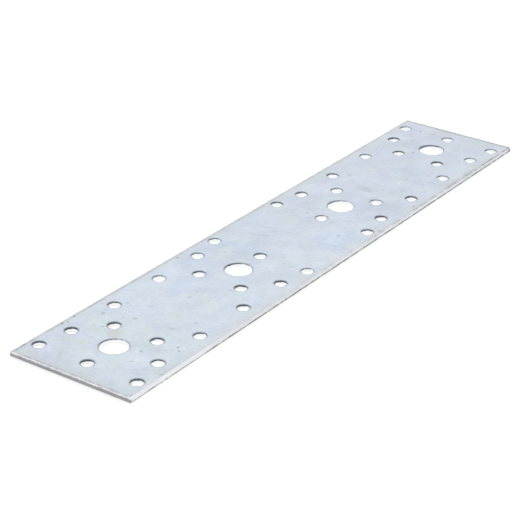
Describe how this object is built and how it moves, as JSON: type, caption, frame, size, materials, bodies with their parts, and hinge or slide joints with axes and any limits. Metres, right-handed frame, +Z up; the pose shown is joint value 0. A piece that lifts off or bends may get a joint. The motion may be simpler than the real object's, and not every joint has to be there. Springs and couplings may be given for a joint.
{
  "type": "mending plate",
  "caption": "Flat rectangular zinc plated steel mending plate with a symmetric pattern of round nail holes and larger bolt holes, for joining two timbers in line.",
  "frame": {"origin": "centre of the plate's underside, the face that lies on the timber", "axes": "+X along the plate, +Y across it, +Z up out of the punched top face"},
  "size_m": [0.28, 0.055, 0.002],
  "materials": {
    "zinc_plated_steel": "bright zinc plating, satin, with a faint bluish tint and fine handling scratches"
  },
  "bodies": {
    "root": {"mending_plate": "zinc_plated_steel"}
  },
  "joints": []
}
